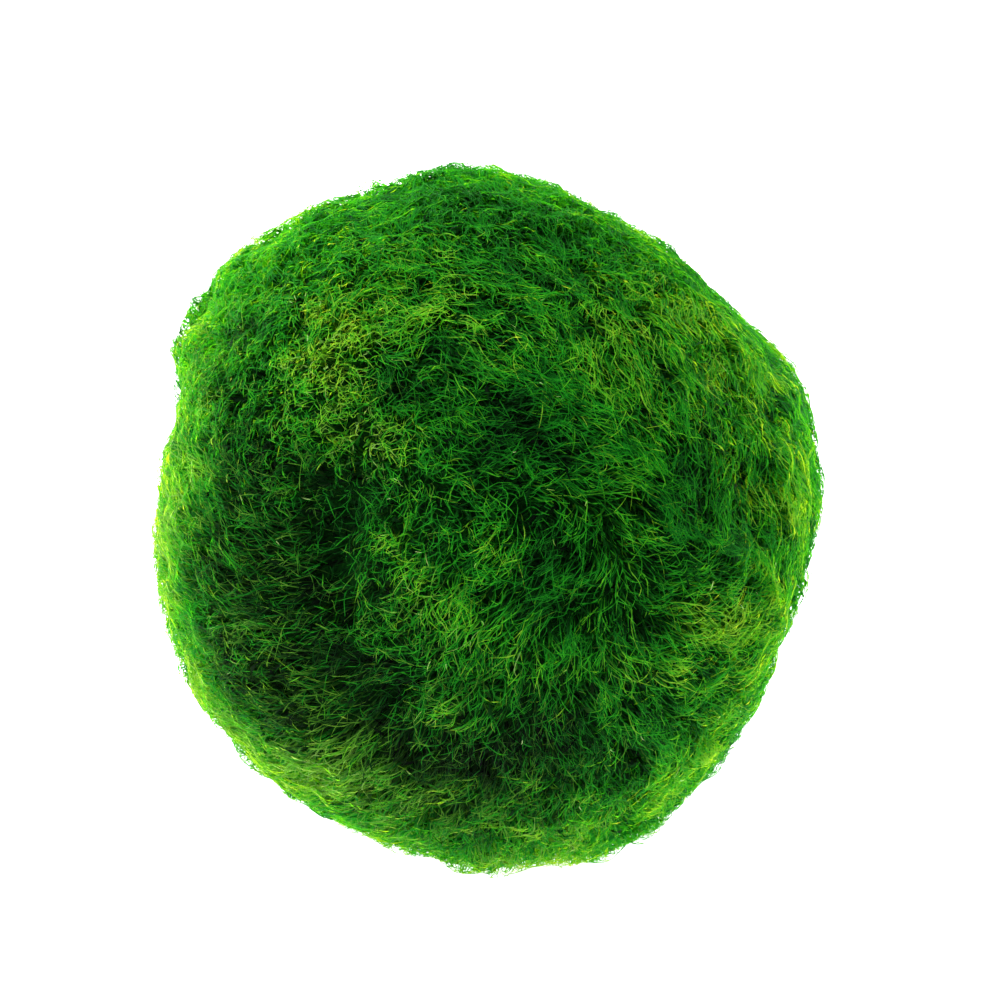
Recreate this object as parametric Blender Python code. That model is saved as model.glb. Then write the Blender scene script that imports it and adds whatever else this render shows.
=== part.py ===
"""Marimo moss ball: one round, lumpy ball of felted green algae that rests on a small flat foot.

The ball grew as one piece, so it is one closed solid whose surface runs through the tips of its
filaments. Metres, +Z up. The origin is the middle of the foot, at the centre of the ball's box,
and the side with the parted coat faces -Y.
"""

import math

import bmesh
import bpy
from mathutils import Vector, noise

# Driving dimensions, in metres.
MEAN_RADIUS = 0.0228
FOOT_RADIUS = 0.0070
FOOT_ROUNDING = 0.0008
TUFT_PITCH = 0.0042
TUFT_RELIEF = 0.00035

# The heart of the ball is as high above the foot as a sphere cut off at FOOT_RADIUS has it.
HEART_HEIGHT = math.sqrt(MEAN_RADIUS**2 - FOOT_RADIUS**2)

# The solid is a lathe of rings from the crown down to the foot.
RINGS = 36
SEGMENTS = 72

# Lobes and hollows of the grown ball: azimuth from +X towards +Y, elevation above the horizon and
# spread in degrees, then height as a share of the mean radius. A hollow has a negative height.
LUMPS = (
    # The outline, from the crown round by the left side.
    (104, 70, 15, 0.060),  # crown
    (160, 42, 16, 0.110),  # upper left shoulder
    (167, 28, 6, 0.045),  # knuckle under that shoulder
    (174, 16, 5, -0.050),  # notch below the knuckle
    (-66, -62, 15, 0.055),  # belly that hangs over the foot in front
    (-7, -21, 17, -0.095),  # lower right flank, pressed in
    (-171, -24, 18, 0.018),  # lower left flank
    (8, 22, 8, 0.035),  # right shoulder
    (20, 44, 16, -0.045),  # upper right flank, pressed in
    # The parted coat in front.
    (-74, 6, 26, 0.035),  # main dome
    (-121, 15, 8, -0.055),  # deep end of the parting, on the left
    (-109, -12, 8, -0.050),  # parting, half way down
    (-92, -36, 9, -0.035),  # parting, running out under the dome
    (-137, 0, 14, 0.020),  # lobe left of the parting
    (-134, 41, 13, 0.025),  # fluffy lobe above it
    (-43, 64, 7, -0.025),  # dimple near the crown
    (-32, 35, 7, -0.030),  # dimple on the right
    (-40, 12, 7, -0.030),  # furrow beside the dome
    # The far side.
    (60, -10, 24, 0.030),
    (118, 12, 22, 0.035),
    (90, 44, 12, -0.025),
    (84, -38, 11, -0.020),
)

MOSS_GREEN = (0.022, 0.150, 0.010, 1.0)
MOSS_ROUGHNESS = 0.9


def direction(azimuth, elevation):
    """The unit vector at an azimuth and an elevation, both in radians."""
    level = math.cos(elevation)
    return Vector((level * math.cos(azimuth), level * math.sin(azimuth), math.sin(elevation)))


LUMP_SHAPES = [
    (direction(math.radians(azimuth), math.radians(elevation)), math.radians(spread), height)
    for azimuth, elevation, spread, height in LUMPS
]


def ball_radius(outward):
    """How far the filament tips reach from the heart of the ball in a direction."""
    swell = sum(
        height * math.exp(-0.5 * (outward.angle(middle) / spread) ** 2)
        for middle, spread, height in LUMP_SHAPES
    )
    tufts = TUFT_RELIEF * noise.noise(outward * (MEAN_RADIUS / TUFT_PITCH))
    return MEAN_RADIUS * (1 + swell) + tufts


def above_foot(height):
    """A height eased off so that the surface meets the foot in a round edge and never dips below."""
    return (height + math.hypot(height, FOOT_ROUNDING)) / 2


def surface_point(azimuth, elevation):
    """Where the ball's surface is in a direction, with z measured up from the foot."""
    outward = direction(azimuth, elevation)
    point = outward * ball_radius(outward)
    point.z = above_foot(point.z + HEART_HEIGHT)
    return point


def all_rings():
    """The crown's point, then the rings down to the foot's edge, which is a flat circle."""
    turns = [2 * math.pi * step / SEGMENTS for step in range(SEGMENTS)]
    foot_polar = math.pi - math.asin(FOOT_RADIUS / MEAN_RADIUS)
    rings = []
    for step in range(1, RINGS):
        elevation = math.pi / 2 - foot_polar * step / RINGS
        rings.append([surface_point(azimuth, elevation) for azimuth in turns])
    rings.append([direction(azimuth, 0) * FOOT_RADIUS for azimuth in turns])
    return surface_point(0, math.pi / 2), rings


def centring(points):
    """The level shift that puts the middle of the points' box over the origin."""
    xs = [point.x for point in points]
    ys = [point.y for point in points]
    return Vector((-(min(xs) + max(xs)) / 2, -(min(ys) + max(ys)) / 2, 0))


def ball_mesh():
    """The closed surface: a fan at the crown, bands between the rings and one flat foot face."""
    crown, rings = all_rings()
    shift = centring([point for ring in rings for point in ring])
    shell = bmesh.new()
    top = shell.verts.new(crown + shift)
    bands = [[shell.verts.new(point + shift) for point in ring] for ring in rings]
    for here in range(SEGMENTS):
        there = (here + 1) % SEGMENTS
        shell.faces.new((top, bands[0][here], bands[0][there]))
        for upper, lower in zip(bands, bands[1:]):
            shell.faces.new((upper[here], lower[here], lower[there], upper[there]))
    shell.faces.new(reversed(bands[-1]))
    bmesh.ops.triangulate(shell, faces=[face for face in shell.faces if len(face.verts) == 4])
    mesh = bpy.data.meshes.new("moss_ball")
    shell.to_mesh(mesh)
    shell.free()
    return mesh


def moss_material():
    """Matt green algae."""
    material = bpy.data.materials.new("moss")
    material.use_nodes = True
    surface = material.node_tree.nodes["Principled BSDF"]
    surface.inputs["Base Color"].default_value = MOSS_GREEN
    surface.inputs["Roughness"].default_value = MOSS_ROUGHNESS
    surface.inputs["Metallic"].default_value = 0.0
    return material


def main():
    for old in list(bpy.data.objects):
        bpy.data.objects.remove(old)
    mesh = ball_mesh()
    mesh.materials.append(moss_material())
    mesh.shade_smooth()
    ball = bpy.data.objects.new("moss_ball", mesh)
    bpy.context.scene.collection.objects.link(ball)


main()
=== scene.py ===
import math

import bpy
import numpy as np
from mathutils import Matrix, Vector, kdtree
from mathutils.bvhtree import BVHTree


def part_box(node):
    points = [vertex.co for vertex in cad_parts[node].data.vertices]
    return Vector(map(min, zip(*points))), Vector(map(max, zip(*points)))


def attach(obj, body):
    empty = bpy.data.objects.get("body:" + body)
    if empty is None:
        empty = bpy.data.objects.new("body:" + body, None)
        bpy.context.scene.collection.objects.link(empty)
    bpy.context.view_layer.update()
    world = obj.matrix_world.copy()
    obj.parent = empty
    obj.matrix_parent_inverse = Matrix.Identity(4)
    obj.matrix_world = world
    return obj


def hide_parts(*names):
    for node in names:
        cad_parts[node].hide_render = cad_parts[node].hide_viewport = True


# Looks of the marimo moss ball: a dark felted mat, and on it a coat of fine, wavy algae filaments.
# Every filament is a thin ribbon that grows out of the mat, bends over along the lie of the coat and
# ends near the surface of the CAD ball, in tufts that reach at most about half a millimetre past it.
# Neighbours gather into locks. Lengths are in metres and angles in degrees unless a comment says
# otherwise. A direction is given as an azimuth from +X towards +Y and an elevation, both seen from
# the heart of the ball, and a heading is the way that a filament lies on the ball as seen from
# outside it: 0 to the right, 90 up.

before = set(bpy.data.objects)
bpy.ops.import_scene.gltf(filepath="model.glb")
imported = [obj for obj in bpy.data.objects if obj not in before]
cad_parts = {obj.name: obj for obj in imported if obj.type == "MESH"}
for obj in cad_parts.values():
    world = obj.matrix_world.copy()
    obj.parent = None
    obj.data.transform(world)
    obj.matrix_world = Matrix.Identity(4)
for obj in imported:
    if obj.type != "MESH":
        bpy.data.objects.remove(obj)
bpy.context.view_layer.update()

MM = 0.001
SEED = 7

# How deep under the tips of the coat the filaments root and the mat is, and how lumpy the mat is.
COAT_DEPTH = 2.2 * MM
MAT_DEPTH = 1.9 * MM
MAT_RELIEF = 0.4 * MM

LOCKS = 3600
TOPCOAT_STRANDS = 50000
TOPCOAT_PIECES = 4
UNDERCOAT_STRANDS = 30000
TWIGS = 38000

# How many points a strand has. They lie left and right of its path by turns.
TOPCOAT_POINTS = 14
UNDERCOAT_POINTS = 6
TWIG_POINTS = 7

# How much closer together the points are towards the tip, and how slowly a strand starts out along
# the ball while it rises. Both are powers, and 1 would be even.
TIP_CROWDING = 1.3
SLOW_START = 1.1

STRAND_WIDTH = 0.075 * MM
STRAND_REACH = 3.1 * MM

# What part of its width a ribbon has lost at its tip.
TIP_NARROWING = 0.7

# How far ribbons lean over from lying flat on the ball, how much more they twist towards the tip and
# the most that both may come to, in radians.
LEAN = 1.1
TWIST = 0.5
MOST_LEAN = 1.3

# Apart from tufts and humps, no filament stands further than this out of the CAD surface.
PROUD = 0.15 * MM

# How far the middle of a strand stays above the floor: a little over half of the widest strand.
FLOOR_GAP = 0.06 * MM

# The tips gather in small tufts.
TUFT_SPACING = 1.5 * MM
TUFT_HEIGHT = 0.24 * MM

# The radius of the sphere on which the noise that varies the coat is read.
NOISE_RADIUS = 22 * MM

# A strand's tone is its place on the colour scales, from 0 to 1: its usual value and its limits, and
# the tones of the few short, straw-coloured twigs, which also stand in as painted glints. Tone also
# carries the painted light and painted shade of the patches and the belt below.
TONE = 0.49
TONE_LIMITS = (0.03, 0.85)
STRAW_AND_GLINT_TONES = (0.88, 1.0)
STRAW_SHORTER = 0.4

# The angles at which twigs fork off and their lengths, each from least to most.
TWIG_FORKS = (18, 50)
TWIG_LENGTHS = (0.5 * MM, 1.6 * MM)

# Keeps lengths and sums away from zero.
TINY = 1e-9

# The lie of the coat: azimuth, elevation, heading and spread of each stroke of the comb.
COMB = (
    # Upper left, sweeping down to the right.
    (176, 50, 20, 16),
    (-156, 34, -25, 13),
    (-134, 48, -10, 13),
    (-165, 74, 20, 13),
    (-109, 57, -38, 13),
    (-118, 30, -45, 9),
    # Crown and upper right, sweeping down to the whorl.
    (-68, 72, -85, 13),
    (-53, 57, -113, 12),
    (-25, 52, -118, 14),
    (-44, 34, -130, 8),
    (-26, 32, -132, 10),
    (-64, 42, -75, 7),
    (-50, 42, -117, 9),
    # Middle, lying to the right.
    (-92, 42, -23, 11),
    (-78, 35, -18, 9),
    (-96, 30, -2, 9),
    (-77, 27, -5, 7),
    (-86, 21, 8, 5),
    (-62, 27, -48, 8),
    (-51, 24, -150, 6),
    (-51, 15, -142, 6),
    (-36, 16, -125, 8),
    (-20, 12, -110, 9),
    # The dome, fanning out from its middle.
    (-57, 9, 30, 5),
    (-45, 6, 28, 7),
    (-43, -8, 30, 8),
    (-56, 0, 18, 7),
    (-54, -9, 0, 7),
    (-30, 1, -165, 7),
    (-36, -22, 30, 9),
    (-66, 10, -60, 5),
    (-70, 4, -112, 6),
    (-64, -5, -60, 6),
    (-63, -15, -57, 9),
    (-71, -22, -80, 10),
    (-83, -20, -102, 10),
    (-93, -8, -140, 8),
    (-103, -3, -158, 8),
    (-92, 8, -152, 7),
    (-90, 14, -150, 5),
    (-81, 13, -150, 6),
    (-74, 13, -130, 6),
    (-106, 13, -118, 8),
    (-83, -42, -100, 13),
    (-54, -41, -56, 13),
    # Left of the parting, lying away from it.
    (-124, 6, -170, 9),
    (-142, 4, 168, 11),
    (-157, 17, 150, 10),
    (-137, -15, -178, 12),
    (-117, -14, -162, 9),
    (-110, -30, -140, 10),
    (-132, -34, -176, 14),
    # Round the rim, where the coat of the far side runs over to this one.
    (150, 52, 12, 13),
    (120, 66, 40, 13),
    (70, 68, 100, 13),
    (10, 62, 160, 13),
    (0, 40, -100, 14),
    (0, 12, -85, 14),
    (-5, -22, -70, 14),
    (165, 18, -170, 13),
    (170, -20, -150, 14),
    # The far side.
    (40, 45, 120, 16),
    (90, 45, 75, 16),
    (125, 35, 10, 16),
    (25, 15, -60, 16),
    (55, 10, -20, 18),
    (30, -20, -60, 18),
    (65, -28, -40, 20),
    (88, 0, 35, 16),
    (100, -30, -110, 18),
    (115, 10, -150, 16),
    (140, -5, 175, 16),
    (135, -35, -140, 18),
    (0, -75, 0, 30),
)

# Where the coat is ruffled: azimuth, elevation, spread and how much, up to 1.
RUFFLES = (
    (-142, 42, 14, 0.7),
    (-123, 30, 9, 0.9),
    (-108, 16, 8, 0.7),
    (-106, 2, 7, 0.6),
    (-92, 20, 8, 0.4),
    (-60, -40, 12, 0.6),
    (-46, -4, 9, 0.4),
    (-150, -10, 10, 0.3),
    (40, 20, 14, 0.7),
    (95, -10, 15, 0.8),
    (120, 40, 13, 0.7),
    (170, 10, 13, 0.6),
)

# Where the filaments are paler or darker than elsewhere: azimuth, elevation, spread and by how much.
# Most of these are painted light and painted shade in the filaments' tone; the far side's are their own
# colour.
PAINTED_LIGHT_AND_TONE_PATCHES = (
    # The fluffy lobe, and the tufts beside the parting and on the dome, are paler: painted light where
    # they catch the light.
    (-127, 43, 7, 0.16),
    (-114, 55, 8, 0.14),
    (-120, 34, 5, 0.18),
    (-112, 29, 5, 0.14),
    (-107, 28, 5, 0.16),
    (-106, 14, 4, 0.18),
    (-98, 6, 5, 0.17),
    (-96, -8, 8, 0.10),
    (-60, 42, 10, 0.18),
    (-36, 36, 13, 0.14),
    (-64, 15, 6, 0.08),
    (-74, 23, 4, 0.08),
    (-90, 16, 4, 0.06),
    (-84, 22, 7, 0.10),
    (-100, 38, 4, 0.12),
    (-99, 23, 3, 0.16),
    (-46, -4, 9, 0.22),
    (-79, -2, 6, 0.16),
    (-90, -10, 5, 0.10),
    (-110, 1, 4, 0.10),
    (-118, -25, 5, 0.24),
    (-32, 50, 8, 0.14),
    (-27, 38, 6, 0.06),
    (-91, 56, 4, 0.10),
    (-62, 50, 7, 0.06),
    (-71, 38, 5, 0.08),
    (-31, 8, 7, 0.12),
    (-46, 0, 4, 0.08),
    (-100, -20, 4, 0.18),
    (-101, -33, 5, 0.08),
    (-99, -40, 4, 0.08),
    (-80, -55, 5, 0.10),
    (-46, 1, 4, 0.06),
    (-65, 21, 4, 0.08),
    (-90, 50, 5, 0.06),
    (-126, 18, 4, 0.08),
    (-110, 66, 6, 0.06),
    (-50, -25, 8, 0.18),
    (-36, 16, 8, 0.08),
    # The parting, the hollow under the dome and a few furrows are darker: painted shade, over the real
    # hollows.
    (-116, 18, 6, -0.26),
    (-115, 3, 5, -0.10),
    (-116, -4, 5, -0.18),
    (-126, -7, 6, -0.06),
    (-124, 4, 4, -0.14),
    (-107, 22, 4, -0.10),
    (-82, 15, 5, -0.14),
    (-98, 15, 3, -0.08),
    (-46, 9, 4, -0.16),
    (-111, -14, 7, -0.20),
    (-102, -28, 8, -0.14),
    (-90, -26, 9, -0.22),
    (-70, -24, 8, -0.08),
    (-99, -48, 8, -0.08),
    (-43, 41, 5, -0.14),
    (-154, 60, 6, -0.08),
    (-90, 68, 5, -0.08),
    (-57, -38, 5, -0.08),
    (0, 16, 12, -0.06),
    (-157, 39, 6, -0.18),
    (-134, 5, 9, -0.05),
    (-141, 25, 6, -0.18),
    (-128, 27, 5, -0.14),
    (-110, 38, 4, -0.22),
    (-102, 46, 4, -0.12),
    (-98, 14, 4, -0.20),
    (-106, 5, 4, -0.28),
    (-83, 30, 7, -0.22),
    (-77, 56, 5, -0.14),
    (-55, 19, 5, -0.22),
    (-73, 6, 6, -0.18),
    (-66, -3, 4, -0.08),
    (-82, -11, 4, -0.10),
    (-124, -5, 4, -0.06),
    (-37, 16, 5, -0.14),
    (-31, 2, 4, -0.08),
    (-55, 64, 7, -0.06),
    (-140, -19, 6, -0.16),
    # The lower left and the bottom are palest: painted rim light, as if lit through from below and behind.
    (-150, -34, 12, 0.14),
    (-128, -45, 8, 0.10),
    (-115, -62, 9, 0.20),
    (-75, -60, 10, 0.24),
    (-160, 18, 9, 0.14),
    (-166, 36, 8, -0.04),
    (173, 53, 6, 0.14),
    (-150, 50, 5, 0.10),
    (-134, 54, 5, 0.06),
    (-168, 0, 12, 0.15),
    # The far side.
    (60, 10, 20, -0.10),
    (110, 20, 16, 0.12),
    (150, -20, 16, 0.10),
)

# A paler and smoother belt round the parted side, along its outline: the azimuth and elevation of
# the middle of that side, how far from there the belt is and its spread. Its paler tone is painted
# rim light.
BELT = (-90, 20, 84, 17)
BELT_PAINTED_RIM_LIGHT = 0.07

# Where the coat is thin and the dark felt shows: azimuth, elevation, spread and the share missing.
THIN = (
    (-117, 17, 5, 0.75),
    (-115, 4, 5, 0.60),
    (-111, -14, 6, 0.50),
    (-103, -24, 5, 0.35),
    (-128, -9, 10, 0.25),
    (-114, -34, 9, 0.25),
    (-98, 20, 3, 0.40),
    (-88, -24, 8, 0.30),
    (-52, 64, 5, 0.35),
    (-36, 15, 5, 0.35),
    (72, -18, 7, 0.50),
    (118, 6, 6, 0.50),
)

# Where old, olive filaments grow among the green ones: azimuth, elevation, spread and their share.
OLD_GROWTH = (
    (-132, 10, 13, 0.45),
    (-128, -14, 12, 0.50),
    (-112, -32, 12, 0.65),
    (-118, 30, 9, 0.20),
    (-88, -24, 12, 0.40),
    (-85, -46, 10, 0.30),
    (-103, 4, 6, 0.25),
    (-166, 32, 10, 0.30),
    (-162, 2, 9, 0.35),
    (-150, -30, 9, 0.30),
    (80, -10, 18, 0.30),
    (130, 30, 15, 0.30),
)

# Where the coat lies low: azimuth, elevation, spread and depth in millimetres.
HOLLOWS = (
    (-116, 18, 6, 1.1),
    (-115, 3, 5, 0.9),
    (-111, -14, 6, 0.9),
    (-102, -28, 7, 0.7),
    (-84, -25, 7, 0.5),
    (-99, -50, 6, 0.3),
    (-83, 31, 6, 0.3),
    (-110, 38, 4, 0.5),
    (-37, 16, 4, 0.6),
    (-31, 2, 4, 0.4),
    (-55, 64, 5, 0.6),
    (-34, 38, 4, 0.5),
    # Along the outline of the parted side. A hump has a negative depth.
    (-1, 17, 4, 0.5),
    (-3, 10, 3, 0.4),
    (148, 65, 3, 0.5),
    (123, 74, 3, -0.4),
    (33, 66, 4, 0.3),
    (165, 50, 3, 0.7),
    (173, 36, 3, 0.8),
    (176, 22, 3, 1.2),
    (-176, 20, 3, 1.2),
    (-178, 12, 3, -0.4),
    (-175, 3, 5, 0.3),
    (-156, -36, 3, 0.4),
    (-126, -58, 4, 0.4),
    (-78, -64, 3, 0.4),
    (-68, -62, 5, 0.5),
    (-32, -45, 4, 0.2),
    (-11, -12, 4, 0.8),
    (-19, -28, 4, -0.2),
    (175, 30, 3, -0.3),
    (170, 42, 3, -0.3),
    (158, 58, 3, -0.3),
    # The far side.
    (70, -20, 8, 0.8),
    (115, 5, 8, 0.8),
)

# The colours of the filaments by their tone, as they reflect light and as they let it through.
GREEN_REFLECTED = (
    (0.00, (0.008, 0.032, 0.008)),
    (0.25, (0.014, 0.120, 0.018)),
    (0.50, (0.018, 0.320, 0.022)),
    (0.62, (0.032, 0.430, 0.022)),
    (0.72, (0.080, 0.510, 0.022)),
    (0.85, (0.260, 0.630, 0.040)),
    # The palest stops colour the straw-coloured twigs, which also stand in as painted glints.
    (0.93, (0.420, 0.740, 0.180)),
    (1.00, (0.650, 0.820, 0.360)),
)
GREEN_TRANSMITTED = (
    (0.00, (0.014, 0.060, 0.008)),
    (0.25, (0.040, 0.320, 0.012)),
    (0.50, (0.085, 0.720, 0.012)),
    (0.62, (0.190, 0.820, 0.010)),
    (0.72, (0.500, 0.880, 0.010)),
    (0.85, (0.690, 0.880, 0.030)),
    (0.93, (0.700, 0.940, 0.200)),
    (1.00, (0.800, 0.940, 0.400)),
)
OLIVE_REFLECTED = (
    (0.00, (0.014, 0.036, 0.014)),
    (0.25, (0.030, 0.110, 0.016)),
    (0.50, (0.075, 0.270, 0.024)),
    (0.75, (0.180, 0.440, 0.045)),
    # The palest stop colours old straw-coloured twigs, which also stand in as painted glints.
    (1.00, (0.450, 0.640, 0.240)),
)
OLIVE_TRANSMITTED = (
    (0.00, (0.024, 0.060, 0.012)),
    (0.25, (0.100, 0.300, 0.016)),
    (0.50, (0.270, 0.640, 0.026)),
    (0.75, (0.500, 0.820, 0.070)),
    (1.00, (0.720, 0.900, 0.300)),
)

# How much of its colour a filament has, from its root to its tip: darker towards the root, partly older
# growth and partly painted shade deep in the coat.
ROOT_AGE_AND_SHADE = (
    (0.00, (0.03, 0.05, 0.05)),
    (0.45, (0.16, 0.22, 0.22)),
    (0.75, (0.60, 0.70, 0.70)),
    (1.00, (1.00, 1.00, 1.00)),
)

# The colours of the felt, from between its fibres to their crests, and how fine its grain is. Its near
# black is partly the felt's own colour and partly painted shade deep in the coat.
FELT_COLOURS_AND_DEEP_SHADE = (
    (0.35, (0.001, 0.010, 0.002)),
    (0.60, (0.003, 0.030, 0.003)),
    (0.80, (0.010, 0.080, 0.006)),
)
FELT_GRAIN_PER_METRE = 2600.0

# How bright the surroundings are, from the side that the parted coat faces to the far side.
SKY = ((0.0, 0.17), (0.41, 0.5), (0.5, 0.5), (1.0, 1.0))
SKY_STRENGTH = 2.0

# The lamps: name, azimuth, elevation, size and power in watts. The key is above and to the left, and
# the other two are behind the ball and make its rim glow.
LAMPS = (
    ("key", -150, 50, 0.35, 3.3),
    ("back_left", 150, 20, 0.40, 1.6),
    ("back_right", 30, 20, 0.40, 1.6),
)
LAMP_DISTANCE = 0.55


# --- Directions -----------------------------------------------------------------------------------


def unit(vectors):
    """Vectors scaled to length 1, along their last axis."""
    return vectors / np.maximum(np.linalg.norm(vectors, axis=-1, keepdims=True), TINY)


def directions(azimuths, elevations):
    """Unit vectors at azimuths and elevations in degrees."""
    azimuths, elevations = np.radians(azimuths), np.radians(elevations)
    level = np.cos(elevations)
    return np.stack([level * np.cos(azimuths), level * np.sin(azimuths), np.sin(elevations)], -1)


def sideways(outward):
    """The unit vectors that point right, for someone who looks at the ball from outside."""
    flat = np.stack([-outward[..., 1], outward[..., 0], np.zeros(outward.shape[:-1])], -1)
    return unit(flat + np.array([TINY, 0, 0]))


def headings(outward, angles):
    """Unit vectors along the ball at these headings, in radians."""
    right = sideways(outward)
    up = np.cross(outward, right)
    return np.cos(angles)[..., None] * right + np.sin(angles)[..., None] * up


def turned(vectors, axes, angles):
    """Vectors at right angles to their axes, turned about them by angles in radians."""
    return np.cos(angles)[..., None] * vectors + np.sin(angles)[..., None] * np.cross(axes, vectors)


def evenly_spread(count, jitter, rng):
    """Directions spread evenly over the whole ball, each moved by about jitter times half the spacing."""
    turns = np.arange(count) * math.pi * (3 - math.sqrt(5))
    heights = 1 - (2 * np.arange(count) + 1) / count
    level = np.sqrt(1 - heights**2)
    even = np.stack([level * np.cos(turns), level * np.sin(turns), heights], -1)
    spacing = math.sqrt(4 * math.pi / count)
    return unit(even + rng.normal(0, 0.5 * jitter * spacing, even.shape))


# --- The ball and its coat as fields over all directions ------------------------------------------


class Skin:
    """The surface of the CAD ball: how far it is from the heart of the ball in each direction."""

    # One ray for each degree, and how far inside the last cell a reading at the very end is kept.
    STEPS = 180
    INSIDE = 1e-6

    def __init__(self, node):
        low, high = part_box(node)
        self.heart = np.array((low + high) / 2)
        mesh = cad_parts[node].data
        tree = BVHTree.FromPolygons(
            [vertex.co for vertex in mesh.vertices],
            [face.vertices for face in mesh.polygons],
        )
        azimuths = np.linspace(-180, 180, 2 * self.STEPS + 1)
        elevations = np.linspace(-90, 90, self.STEPS + 1)
        rays = directions(*np.meshgrid(azimuths, elevations))
        middle = Vector(self.heart)
        self.reach = np.array([[tree.ray_cast(middle, Vector(ray))[3] for ray in row] for row in rays])

    def radius(self, outward):
        """The distance to the surface, read between the nearest rays."""
        across = (np.degrees(np.arctan2(outward[..., 1], outward[..., 0])) + 180) / 360
        upward = (np.degrees(np.arcsin(outward[..., 2].clip(-1, 1))) + 90) / 180
        across = (across * 2 * self.STEPS).clip(0, 2 * self.STEPS - self.INSIDE)
        upward = (upward * self.STEPS).clip(0, self.STEPS - self.INSIDE)
        column, row = across.astype(int), upward.astype(int)
        beside, above = across - column, upward - row
        lower = self.reach[row, column] * (1 - beside) + self.reach[row, column + 1] * beside
        upper = self.reach[row + 1, column] * (1 - beside) + self.reach[row + 1, column + 1] * beside
        return lower * (1 - above) + upper * above

    def coat_radius(self, outward):
        """The distance to the tips of the coat, which lies low in its hollows."""
        return self.radius(outward) - patches(outward, HOLLOWS) * MM

    def points(self, outward, depth):
        """Points at a depth under the tips of the coat."""
        return self.heart + outward * (self.coat_radius(outward) - depth)[..., None]


def nearness(outward, middles, spreads):
    """How near each direction is to each middle: 1 there, falling off over the spreads."""
    apart = np.degrees(np.arccos((outward @ middles.T).clip(-1, 1)))
    return np.exp(-0.5 * (apart / spreads) ** 2)


def combed(outward):
    """The lie of the coat: vectors along the ball, of length 1 where the comb's strokes agree."""
    table = np.array(COMB, float)
    middles = directions(table[:, 0], table[:, 1])
    strokes = headings(middles, np.radians(table[:, 2]))
    weights = nearness(outward, middles, table[:, 3]) + TINY
    lie = weights @ strokes / weights.sum(-1, keepdims=True)
    return lie - outward * (lie * outward).sum(-1, keepdims=True)


def patches(outward, places):
    """The sum of soft round patches, each an azimuth, an elevation, a spread and a height."""
    table = np.array(places, float)
    return nearness(outward, directions(table[:, 0], table[:, 1]), table[:, 2]) @ table[:, 3]


def ripples(points, length, seed):
    """Smooth noise, mostly from -1 to 1, whose humps are about length across."""
    rng = np.random.default_rng(seed)
    count = 14
    waves = unit(rng.normal(size=(count, 3))) * rng.uniform(0.6, 1.5, (count, 1)) * math.pi / length
    phases = rng.uniform(0, 2 * math.pi, count)
    return np.sin(points @ waves.T + phases).sum(-1) / math.sqrt(count)


def ruffled_share(outward):
    """How ruffled the coat is in each direction, from 0 to 1."""
    return patches(outward, RUFFLES).clip(0, 1)


def belt_share(outward):
    """How far each direction is inside the belt, up to 1."""
    azimuth, elevation, apart, spread = BELT
    from_middle = np.degrees(np.arccos((outward @ directions(azimuth, elevation)).clip(-1, 1)))
    return np.exp(-0.5 * ((from_middle - apart) / spread) ** 2)


def between(smooth, ruffled, share):
    """The first value where the coat is smooth, the second where it is fully ruffled."""
    return smooth + (ruffled - smooth) * share


# --- Growing ---------------------------------------------------------------------------------------


def point_shares(count):
    """Where a strand's points are, as shares of its length: closer together towards the tip."""
    return 1 - (1 - np.linspace(0, 1, count)) ** TIP_CROWDING


def grow(skin, roots, habit, points):
    """Paths of strands that rise from the mat, bend over and follow the lie of the coat.

    habit holds, for each strand, the depths of its root and tip, how soon it settles down to its
    tip's depth, its reach along the ball and the turn, bend and swing of its heading in radians.
    Returns an array of shape (strands, points, 3).
    """
    shares = point_shares(points)
    outward = roots.copy()
    path = []
    for step, share in enumerate(shares):
        if step:
            along = shares[step] ** SLOW_START - shares[step - 1] ** SLOW_START
            lie = combed(outward)
            heading = habit["turn"] + habit["bend"] * share
            heading = heading + habit["swing"] * np.sin(habit["phase"] + habit["waves"] * share)
            lie = turned(lie, outward, heading)
            # Strands are shorter where the comb's strokes disagree.
            lie = unit(lie) * (0.7 + 0.3 * np.linalg.norm(lie, axis=-1, keepdims=True))
            travel = habit["reach"] * along / skin.radius(outward)
            outward = unit(outward + lie * travel[:, None])
        rise = 1 - (1 - share) ** habit["settle"]
        depth = habit["root"] + (habit["tip"] - habit["root"]) * rise
        path.append(skin.points(outward, depth))
    return np.stack(path, 1)


def habit_of(roots, locks, rng, ruffled, loose):
    """Each strand's habit: its lock's, and its own straying from that, which is wider if loose is more."""
    count = len(roots)
    stray = loose * between(17, 44, ruffled)
    return {
        "root": COAT_DEPTH * rng.uniform(0.85, 1.0, count),
        "tip": locks["tip"] + rng.exponential(0.18 * MM, count) * (0.6 + loose),
        "settle": between(4.0, 2.2, ruffled),
        "reach": STRAND_REACH * locks["reach"] * rng.uniform(0.75, 1.15, count),
        "turn": locks["turn"] + np.radians(rng.normal(0, 1, count) * stray),
        "bend": locks["bend"] + np.radians(rng.normal(0, 1, count) * between(10, 55, ruffled)),
        "swing": np.radians(between(30, 68, ruffled) * rng.uniform(0.3, 1.4, count)),
        "phase": rng.uniform(0, 2 * math.pi, count),
        "waves": rng.uniform(4, 9, count),
    }


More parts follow.
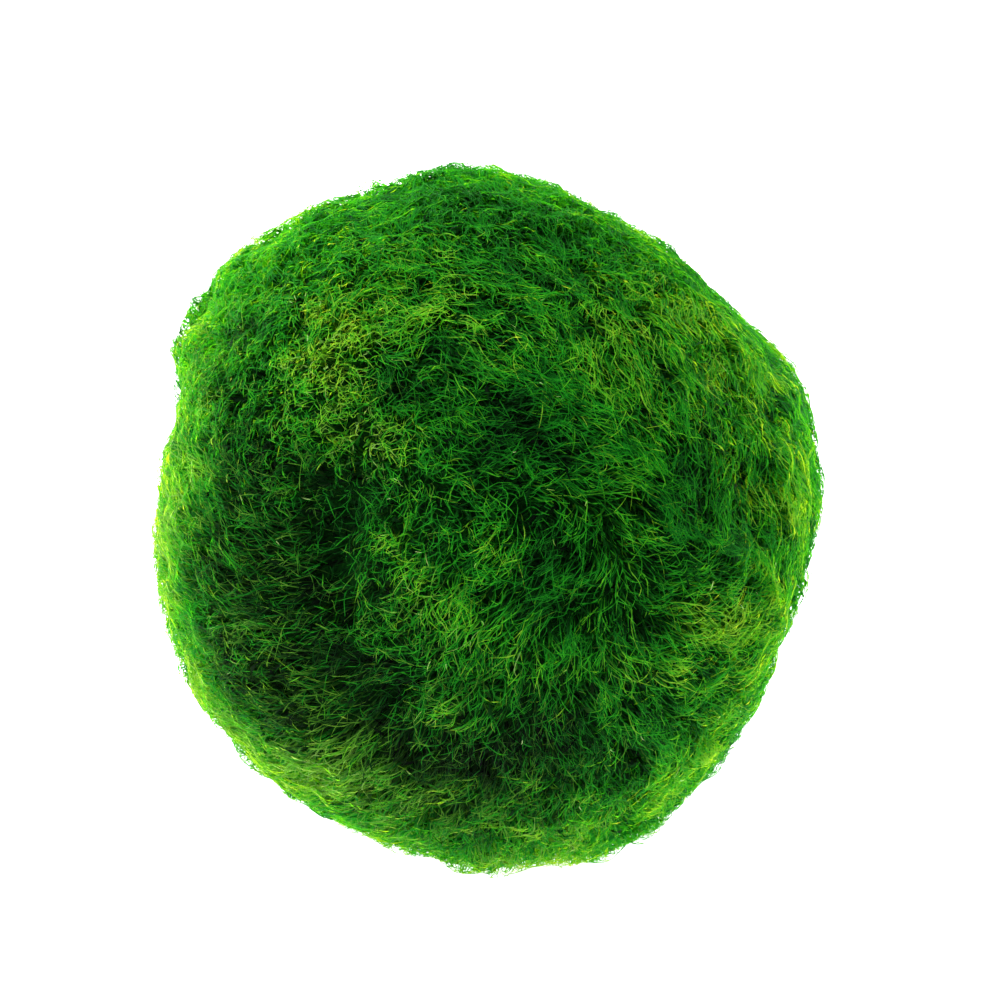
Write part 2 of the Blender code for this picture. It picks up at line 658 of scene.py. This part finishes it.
def make_locks(skin, rng):
    """The locks that the filaments gather into: their middles, habits and paths."""
    roots = evenly_spread(LOCKS, 0.9, rng)
    ruffled = ruffled_share(roots)
    wander = ripples(roots * skin.radius(roots)[:, None], 5 * MM, SEED + 1)
    inherited = {
        "tip": (rng.uniform(-0.5, 0.2, LOCKS) - 0.2 * belt_share(roots)) * MM,
        "reach": rng.uniform(0.8, 1.15, LOCKS) * between(1, 0.65, ruffled),
        "turn": np.radians(12 * wander + rng.normal(0, 1, LOCKS) * between(14, 41, ruffled)),
        "bend": np.radians(rng.normal(0, 1, LOCKS) * between(10, 50, ruffled)),
    }
    habit = habit_of(roots, inherited, rng, ruffled, loose=0.0)
    habit["swing"] = 0.4 * habit["swing"]
    return {
        "roots": roots,
        "habit": inherited,
        "paths": grow(skin, roots, habit, TOPCOAT_POINTS),
        "pull": rng.uniform(0.1, 0.8, LOCKS) * between(1, 0.7, ruffled),
        "tone": rng.normal(0, 0.05, LOCKS),
    }


def nearest_locks(roots, locks):
    """The index of the lock that each root belongs to."""
    tree = kdtree.KDTree(LOCKS)
    for index, middle in enumerate(locks["roots"]):
        tree.insert(middle, index)
    tree.balance()
    return np.array([tree.find(root)[1] for root in roots])


def waved(paths, height, rng):
    """Paths with two small waves of their own, which grow towards the tip."""
    count, points, _ = paths.shape
    shares = point_shares(points)
    result = paths.copy()
    for _ in range(2):
        aside = unit(rng.normal(size=(count, 3)))
        phase = rng.uniform(0, 2 * math.pi, (count, 1)) + rng.uniform(6, 13, (count, 1)) * shares
        sway = height[:, None] * shares * np.sin(phase)
        result = result + sway[..., None] * aside[:, None]
    return result


def trimmed(skin, paths, depth):
    """Paths kept under tufts that lie at a depth below the coat's tips, and above the floor."""
    out = paths - skin.heart
    far = np.linalg.norm(out, axis=-1)
    outward = out / far[..., None]
    tufts = TUFT_HEIGHT * ripples(outward * NOISE_RADIUS, TUFT_SPACING, SEED + 6)
    near = np.minimum(far, skin.coat_radius(outward) - depth + tufts)
    result = skin.heart + outward * near[..., None]
    result[..., 2] = np.maximum(result[..., 2], FLOOR_GAP)
    return result


def tones(skin, paths, lock_tone, ruffled, rng):
    """Each strand's tone: that of its place, with its painted light and shade, its lock's and a little of
    its own.
    """
    # A strand's place is where it is at two thirds of its length, the part that shows most.
    shown = unit(paths[:, 2 * paths.shape[1] // 3] - skin.heart)
    places = shown * NOISE_RADIUS
    belt = belt_share(shown)
    # The patches and the belt put painted light and painted shade into the tone.
    tone = TONE + patches(shown, PAINTED_LIGHT_AND_TONE_PATCHES) + BELT_PAINTED_RIM_LIGHT * belt + 0.08 * ruffled
    tone = tone + 0.06 * ripples(places, 6 * MM, SEED + 2) + 0.06 * ripples(places, 2 * MM, SEED + 3)
    tone = tone + lock_tone + rng.normal(0, 0.10, len(paths)) * (1 - 0.8 * belt)
    return tone.clip(*TONE_LIMITS)


def middles_of(skin, paths):
    """The directions in which the middles of the strands are."""
    return unit(paths[:, paths.shape[1] // 2] - skin.heart)


def without_thin_spots(skin, strands, rng):
    """The strands that are left where the coat is thin in places."""
    middles = middles_of(skin, strands[0])
    left = rng.random(len(middles)) > patches(middles, THIN)
    return [values[left] for values in strands]


def strand_roots(count, locks, rng):
    """Roots all over the ball, the lock that each belongs to and the habit that it has from there."""
    roots = evenly_spread(count, 1.0, rng)
    owner = nearest_locks(roots, locks)
    inherited = {key: values[owner] for key, values in locks["habit"].items()}
    return roots, owner, inherited


def topcoat(skin, locks, rng):
    """The filaments that show: paths, widths and tones."""
    roots, owner, inherited = strand_roots(TOPCOAT_STRANDS, locks, rng)
    ruffled = ruffled_share(roots)
    habit = habit_of(roots, inherited, rng, ruffled, loose=1.0)
    paths = grow(skin, roots, habit, TOPCOAT_POINTS)
    pull = locks["pull"][owner] * rng.uniform(0.4, 1.1, len(roots))
    pull = pull[:, None] * point_shares(TOPCOAT_POINTS) ** 1.6
    paths = paths + pull[..., None] * (locks["paths"][owner] - paths)
    paths = waved(paths, between(0.08 * MM, 0.19 * MM, ruffled), rng)
    widths = STRAND_WIDTH * rng.uniform(0.75, 1.2, len(roots))
    tone = tones(skin, paths, locks["tone"][owner], ruffled, rng)
    return without_thin_spots(skin, (trimmed(skin, paths, -PROUD), widths, tone), rng)


def undercoat(skin, locks, rng):
    """Shorter, wider and darker filaments that lie across each other and close the coat from below."""
    roots, owner, inherited = strand_roots(UNDERCOAT_STRANDS, locks, rng)
    ruffled = ruffled_share(roots)
    habit = habit_of(roots, inherited, rng, ruffled, loose=1.6)
    habit["tip"] = inherited["tip"] + rng.uniform(0.1, 0.9, len(roots)) * MM
    habit["turn"] = habit["turn"] + rng.uniform(-1.3, 1.3, len(roots))
    habit["reach"] = 0.75 * habit["reach"]
    paths = waved(grow(skin, roots, habit, UNDERCOAT_POINTS), np.full(len(roots), 0.1 * MM), rng)
    widths = 1.2 * STRAND_WIDTH * rng.uniform(0.8, 1.2, len(roots))
    tone = (tones(skin, paths, locks["tone"][owner], ruffled, rng) - 0.12).clip(*TONE_LIMITS)
    return without_thin_spots(skin, (trimmed(skin, paths, 0.0), widths, tone), rng)


def twigs(skin, parents, rng):
    """Side branches: short filaments that leave a parent between a third of the way and its tip."""
    paths, widths, tone = parents
    chosen = rng.choice(len(paths), TWIGS, replace=False)
    fork_point = rng.integers(TOPCOAT_POINTS // 3, TOPCOAT_POINTS - 1, TWIGS)
    start = paths[chosen, fork_point]
    ahead = unit(paths[chosen, fork_point + 1] - start)
    outward = unit(start - skin.heart)
    aside = unit(np.cross(ahead, outward)) * rng.choice([-1.0, 1.0], TWIGS)[:, None]
    fork = np.radians(rng.uniform(*TWIG_FORKS, TWIGS))[:, None]
    way = np.cos(fork) * ahead + np.sin(fork) * aside + 0.25 * outward
    curl = unit(rng.normal(size=way.shape)) * rng.uniform(0.1, 0.8, TWIGS)[:, None]
    # A few twigs are pale straw, which also stands in as painted glints on the coat.
    straw_and_glint = rng.random(TWIGS) < between(0.006, 0.024, ruffled_share(outward))
    length = rng.uniform(*TWIG_LENGTHS, TWIGS) * np.where(straw_and_glint, STRAW_SHORTER, 1.0)
    grown = [
        start + length[:, None] * share * (way + share * curl)
        for share in np.linspace(0, 1, TWIG_POINTS)
    ]
    own_tone = (tone[chosen] + rng.normal(0.04, 0.05, TWIGS)).clip(*TONE_LIMITS)
    own_tone = np.where(straw_and_glint, rng.uniform(*STRAW_AND_GLINT_TONES, TWIGS), own_tone)
    widths = np.where(straw_and_glint, 0.9, 0.7) * widths[chosen]
    return trimmed(skin, np.stack(grown, 1), -PROUD), widths, own_tone


# --- Meshes -----------------------------------------------------------------------------------------


def mesh_object(name, points, corners, material):
    """An object whose mesh has these points and these triangles."""
    mesh = bpy.data.meshes.new(name)
    mesh.vertices.add(len(points))
    mesh.vertices.foreach_set("co", points.astype(np.float32).ravel())
    mesh.loops.add(corners.size)
    mesh.loops.foreach_set("vertex_index", corners.astype(np.int32).ravel())
    mesh.polygons.add(len(corners))
    mesh.polygons.foreach_set("loop_start", np.arange(0, corners.size, 3, dtype=np.int32))
    mesh.update(calc_edges=True)
    mesh.materials.append(material)
    mesh.shade_smooth()
    piece = bpy.data.objects.new(name, mesh)
    bpy.context.scene.collection.objects.link(piece)
    return piece


def vertex_values(mesh, name, values):
    """A number at each vertex, for the materials to read."""
    layer = mesh.attributes.new(name, "FLOAT", "POINT")
    layer.data.foreach_set("value", values.astype(np.float32).ravel())


def ribbons(name, skin, strands, shares, material, rng):
    """One piece made of ribbons that lean and twist along the strands and narrow to their tips.

    A ribbon is a strip of triangles whose points lie left and right of its path by turns. Its normals
    turn from one edge to the other, as a thread's do, and lean outwards a little, as the coat's do.
    In the belt the normals turn less, and the roots are less dark, which is painted rim light.
    """
    paths, widths, tone = strands
    count, length, _ = paths.shape
    side = np.resize([-1.0, 1.0], length)
    ahead = unit(np.gradient(paths, axis=1))
    outward = unit(paths - skin.heart)
    lean = rng.uniform(-LEAN, LEAN, (count, 1))
    lean = lean + rng.uniform(-TWIST, TWIST, (count, 1)) * point_shares(length)
    aside = turned(unit(np.cross(ahead, outward)), ahead, lean.clip(-MOST_LEAN, MOST_LEAN))
    taper = 1 - TIP_NARROWING * np.linspace(0, 1, length) ** 2
    points = paths + aside * (0.5 * widths[:, None] * taper * side)[..., None]
    facing = np.cross(aside, ahead)
    rough = (1 - 0.85 * belt_share(outward))[..., None]
    normals = unit(outward + rough * (0.8 * facing + 0.9 * aside * side[:, None]))
    corners = strip_corners(length) + np.arange(count)[:, None, None] * length
    piece = mesh_object(name, points.reshape(-1, 3), corners.reshape(-1, 3), material)
    piece.data.normals_split_custom_set_from_vertices(normals.reshape(-1, 3))
    # In the belt the roots are less dark: painted rim light over the root darkening.
    along = 1 - (1 - shares) * (1 - 0.6 * belt_share(outward))
    vertex_values(piece.data, "along", along)
    vertex_values(piece.data, "tone", np.repeat(tone, length))
    map_by_colour(piece.data, along, side, tone)
    return piece


def strip_corners(length):
    """The triangles of a strip of points, all wound so that they face the same way."""
    starts = np.arange(length - 2)[:, None]
    corners = starts + np.array([0, 1, 2])
    corners[1::2] = starts[1::2] + np.array([0, 2, 1])
    return corners


def map_by_colour(mesh, along, side, tone):
    """A map on which a ribbon lies where its colour is: its length across, its tone upwards."""
    half_width, margin = 0.004, 0.01
    room = 1 - 2 * margin
    across = margin + room * (along - along.min()) / np.ptp(along)
    upward = margin + room * tone[:, None] + half_width * side
    spots = np.stack([across, upward], -1).reshape(-1, 2)
    layer = mesh.uv_layers.new(name="OFBake")
    vertex = np.empty(len(mesh.loops), np.int32)
    mesh.loops.foreach_get("vertex_index", vertex)
    layer.uv.foreach_set("vector", spots[vertex].astype(np.float32).ravel())


def felt_mat(skin, material):
    """The dark felt that the filaments grow out of: one closed, lumpy skin."""
    columns, rows = 160, 80
    azimuths = np.arange(columns) * 360 / columns - 180
    elevations = np.linspace(-90, 90, rows + 1)[1:-1]
    outward = directions(*np.meshgrid(azimuths, elevations)).reshape(-1, 3)
    outward = np.concatenate([outward, [[0, 0, -1.0], [0, 0, 1.0]]])
    places = outward * NOISE_RADIUS
    relief = 0.6 * ripples(places, 1.6 * MM, SEED + 4) + 0.4 * ripples(places, 0.6 * MM, SEED + 5)
    points = skin.points(outward, MAT_DEPTH + MAT_RELIEF * relief)
    return mesh_object("felt_mat", points, globe_corners(columns, rows - 1), material)


def globe_corners(columns, rings):
    """The triangles of a globe: rings of points from the bottom up, then its bottom and its top."""
    corners = []
    for ring in range(rings - 1):
        for column in range(columns):
            here, there = ring * columns + column, ring * columns + (column + 1) % columns
            corners.append((here, there, there + columns))
            corners.append((here, there + columns, here + columns))
    bottom, top = rings * columns, rings * columns + 1
    last = (rings - 1) * columns
    for column in range(columns):
        after = (column + 1) % columns
        corners.append((bottom, after, column))
        corners.append((top, last + column, last + after))
    return np.array(corners)


# --- Materials --------------------------------------------------------------------------------------


def node(tree, kind, **settings):
    """A new shader node with these settings."""
    made = tree.nodes.new(kind)
    for name, value in settings.items():
        setattr(made, name, value)
    return made


def ramp(tree, source, stops):
    """A colour ramp over source. Each stop is a place and a colour."""
    made = node(tree, "ShaderNodeValToRGB")
    elements = made.color_ramp.elements
    while len(elements) < len(stops):
        elements.new(0.5)
    for element, (place, colour) in zip(elements, stops):
        element.position = place
        element.color = (*colour, 1.0)
    tree.links.new(source, made.inputs["Fac"])
    return made.outputs["Color"]


def multiplied(tree, first, second):
    """One colour times another."""
    made = node(tree, "ShaderNodeMix", data_type="RGBA", blend_type="MULTIPLY", clamp_result=True)
    made.inputs["Factor"].default_value = 1.0
    tree.links.new(first, made.inputs["A"])
    tree.links.new(second, made.inputs["B"])
    return made.outputs["Result"]


def empty_material(name):
    """A material with only its output node, and that node."""
    material = bpy.data.materials.new(name)
    material.use_nodes = True
    tree = material.node_tree
    tree.nodes.clear()
    return material, tree, node(tree, "ShaderNodeOutputMaterial")


def root_age_and_shade(tree, along, tone):
    """How much of its colour a filament has at each point, as a colour: partly older growth, partly
    painted shade.

    Pale filaments keep their colour further down towards the root than dark ones do.
    """
    paleness = node(tree, "ShaderNodeMath", operation="MULTIPLY_ADD")
    paleness.inputs[1].default_value = 0.9
    paleness.inputs[2].default_value = -0.42
    tree.links.new(tone, paleness.inputs[0])
    height = node(tree, "ShaderNodeMath", operation="ADD", use_clamp=True)
    tree.links.new(along, height.inputs[0])
    tree.links.new(paleness.outputs["Value"], height.inputs[1])
    return ramp(tree, height.outputs["Value"], ROOT_AGE_AND_SHADE)


def filament_material(name, reflected, transmitted):
    """Translucent algae, deep at the root and paler at the tip, partly painted shade, in colours by the
    strand's tone.
    """
    material, tree, output = empty_material(name)
    along = node(tree, "ShaderNodeAttribute", attribute_name="along").outputs["Fac"]
    tone = node(tree, "ShaderNodeAttribute", attribute_name="tone").outputs["Fac"]
    # Darker towards the root: partly older growth, partly painted shade.
    age_and_shade = root_age_and_shade(tree, along, tone)
    colour = multiplied(tree, ramp(tree, tone, reflected), age_and_shade)
    glow = multiplied(tree, ramp(tree, tone, transmitted), age_and_shade)
    surface = node(tree, "ShaderNodeBsdfPrincipled")
    surface.inputs["Roughness"].default_value = 0.4
    surface.inputs["Specular IOR Level"].default_value = 0.04
    tree.links.new(colour, surface.inputs["Base Color"])
    through = node(tree, "ShaderNodeBsdfTranslucent")
    tree.links.new(glow, through.inputs["Color"])
    both = node(tree, "ShaderNodeMixShader")
    both.inputs["Fac"].default_value = 0.6
    tree.links.new(surface.outputs["BSDF"], both.inputs[1])
    tree.links.new(through.outputs["BSDF"], both.inputs[2])
    tree.links.new(both.outputs["Shader"], output.inputs["Surface"])
    return material


def mat_material():
    """Matted old filaments: nearly black green, partly painted shade deep in the coat, with paler fibres
    and a rough grain.
    """
    material, tree, output = empty_material("felt")
    place = node(tree, "ShaderNodeTexCoord").outputs["Object"]
    fibres = node(tree, "ShaderNodeTexNoise", noise_dimensions="3D")
    fibres.inputs["Scale"].default_value = FELT_GRAIN_PER_METRE
    fibres.inputs["Detail"].default_value = 4.0
    fibres.inputs["Distortion"].default_value = 1.5
    tree.links.new(place, fibres.inputs["Vector"])
    colour = ramp(tree, fibres.outputs["Fac"], FELT_COLOURS_AND_DEEP_SHADE)
    bump = node(tree, "ShaderNodeBump")
    bump.inputs["Strength"].default_value = 0.6
    bump.inputs["Distance"].default_value = 0.2 * MM
    tree.links.new(fibres.outputs["Fac"], bump.inputs["Height"])
    surface = node(tree, "ShaderNodeBsdfPrincipled")
    surface.inputs["Roughness"].default_value = 0.9
    surface.inputs["Specular IOR Level"].default_value = 0.02
    tree.links.new(colour, surface.inputs["Base Color"])
    tree.links.new(bump.outputs["Normal"], surface.inputs["Normal"])
    tree.links.new(surface.outputs["BSDF"], output.inputs["Surface"])
    return material


def floor_material():
    """Plain matt white that also shines a little, so that the ground stays white round the ball."""
    material = bpy.data.materials.new("floor")
    material.use_nodes = True
    surface = material.node_tree.nodes["Principled BSDF"]
    surface.inputs["Base Color"].default_value = (0.80, 0.80, 0.80, 1.0)
    surface.inputs["Roughness"].default_value = 0.9
    surface.inputs["Specular IOR Level"].default_value = 0.0
    surface.inputs["Emission Color"].default_value = (1.0, 1.0, 1.0, 1.0)
    surface.inputs["Emission Strength"].default_value = 1.4
    return material


# --- Stage, lights and camera ------------------------------------------------------------------------


def make_floor():
    """A plain white floor at the level of the foot."""
    half = 3.0
    points = np.array([(-half, -half, 0), (half, -half, 0), (half, half, 0), (-half, half, 0)])
    floor = mesh_object("floor", points, np.array([(0, 1, 2), (0, 2, 3)]), floor_material())


def make_world():
    """White light from all round, dimmer on the side that the parted coat faces."""
    world = bpy.data.worlds.new("studio")
    world.use_nodes = True
    tree = world.node_tree
    sky = node(tree, "ShaderNodeTexCoord").outputs["Generated"]
    depth = node(tree, "ShaderNodeSeparateXYZ")
    tree.links.new(sky, depth.inputs[0])
    share = node(tree, "ShaderNodeMapRange")
    share.inputs["From Min"].default_value = -1.0
    tree.links.new(depth.outputs["Y"], share.inputs["Value"])
    greys = [(place, (brightness,) * 3) for place, brightness in SKY]
    light = ramp(tree, share.outputs["Result"], greys)
    tree.links.new(light, tree.nodes["Background"].inputs["Color"])
    tree.nodes["Background"].inputs["Strength"].default_value = SKY_STRENGTH
    bpy.context.scene.world = world


def soft_light(name, azimuth, elevation, size, power, target):
    """A square soft light that shines at the target and doesn't show in the picture."""
    light = bpy.data.lights.new(name, "AREA")
    light.size = size
    light.energy = power
    lamp = bpy.data.objects.new(name, light)
    towards = Vector(directions(azimuth, elevation))
    lamp.location = target + towards * LAMP_DISTANCE
    lamp.rotation_euler = towards.to_track_quat("Z", "Y").to_euler()
    lamp.visible_camera = False
    bpy.context.scene.collection.objects.link(lamp)


def make_lights(target):
    """All the lamps, shining at the target."""
    for name, azimuth, elevation, size, power in LAMPS:
        soft_light(name, azimuth, elevation, size, power, target)


def make_camera(target):
    """A long lens that looks at the parted side from a little above."""
    elevation, distance = 20, 0.215
    # The ball sits a little left of the middle of the picture, and below it.
    right, above = 0.86 * MM, 0.65 * MM
    data = bpy.data.cameras.new("camera")
    data.lens = 112.8
    data.sensor_width = 36.0
    data.clip_start, data.clip_end = 0.01, 10.0
    camera = bpy.data.objects.new("camera", data)
    back = Vector(directions(-90, elevation))
    facing = back.to_track_quat("Z", "Y")
    aim = facing @ Vector((right, above, 0))
    camera.location = target + aim + back * distance
    camera.rotation_euler = facing.to_euler()
    bpy.context.scene.collection.objects.link(camera)
    bpy.context.scene.camera = camera


# --- The scene ---------------------------------------------------------------------------------------


def fix_to_ball(piece):
    """Makes a piece part of the ball."""
    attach(piece, "root")


def make_coat(skin):
    """All the filaments, as a few pieces: the green ones and, apart from them, the old ones."""
    rng = np.random.default_rng(SEED)
    green = filament_material("green_filament", GREEN_REFLECTED, GREEN_TRANSMITTED)
    olive = filament_material("olive_filament", OLIVE_REFLECTED, OLIVE_TRANSMITTED)
    locks = make_locks(skin, rng)
    top = topcoat(skin, locks, rng)
    coats = (
        # Each coat's shares place it on the root darkening, partly painted shade: the undercoat keeps to
        # its darker part.
        ("topcoat", top, TOPCOAT_PIECES, point_shares(TOPCOAT_POINTS)),
        ("undercoat", undercoat(skin, locks, rng), 1, 0.6 * point_shares(UNDERCOAT_POINTS)),
        ("twigs", twigs(skin, top, rng), 1, np.linspace(0.75, 1, TWIG_POINTS)),
    )
    for name, strands, pieces, shares in coats:
        middles = middles_of(skin, strands[0])
        old = rng.random(len(middles)) < patches(middles, OLD_GROWTH)
        young = np.flatnonzero(~old)
        for part in range(pieces):
            chosen = [values[young[part::pieces]] for values in strands]
            fix_to_ball(ribbons(f"{name}_{part + 1}", skin, chosen, shares, green, rng))
        chosen = [values[old] for values in strands]
        fix_to_ball(ribbons(f"old_{name}", skin, chosen, shares, olive, rng))


def main():
    skin = Skin("moss_ball")
    target = Vector(skin.heart)
    make_camera(target)
    make_world()
    make_lights(target)
    make_floor()
    mat = felt_mat(skin, mat_material())
    fix_to_ball(mat)
    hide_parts("moss_ball")
    make_coat(skin)
    bpy.context.scene.view_settings.view_transform = "Standard"


main()
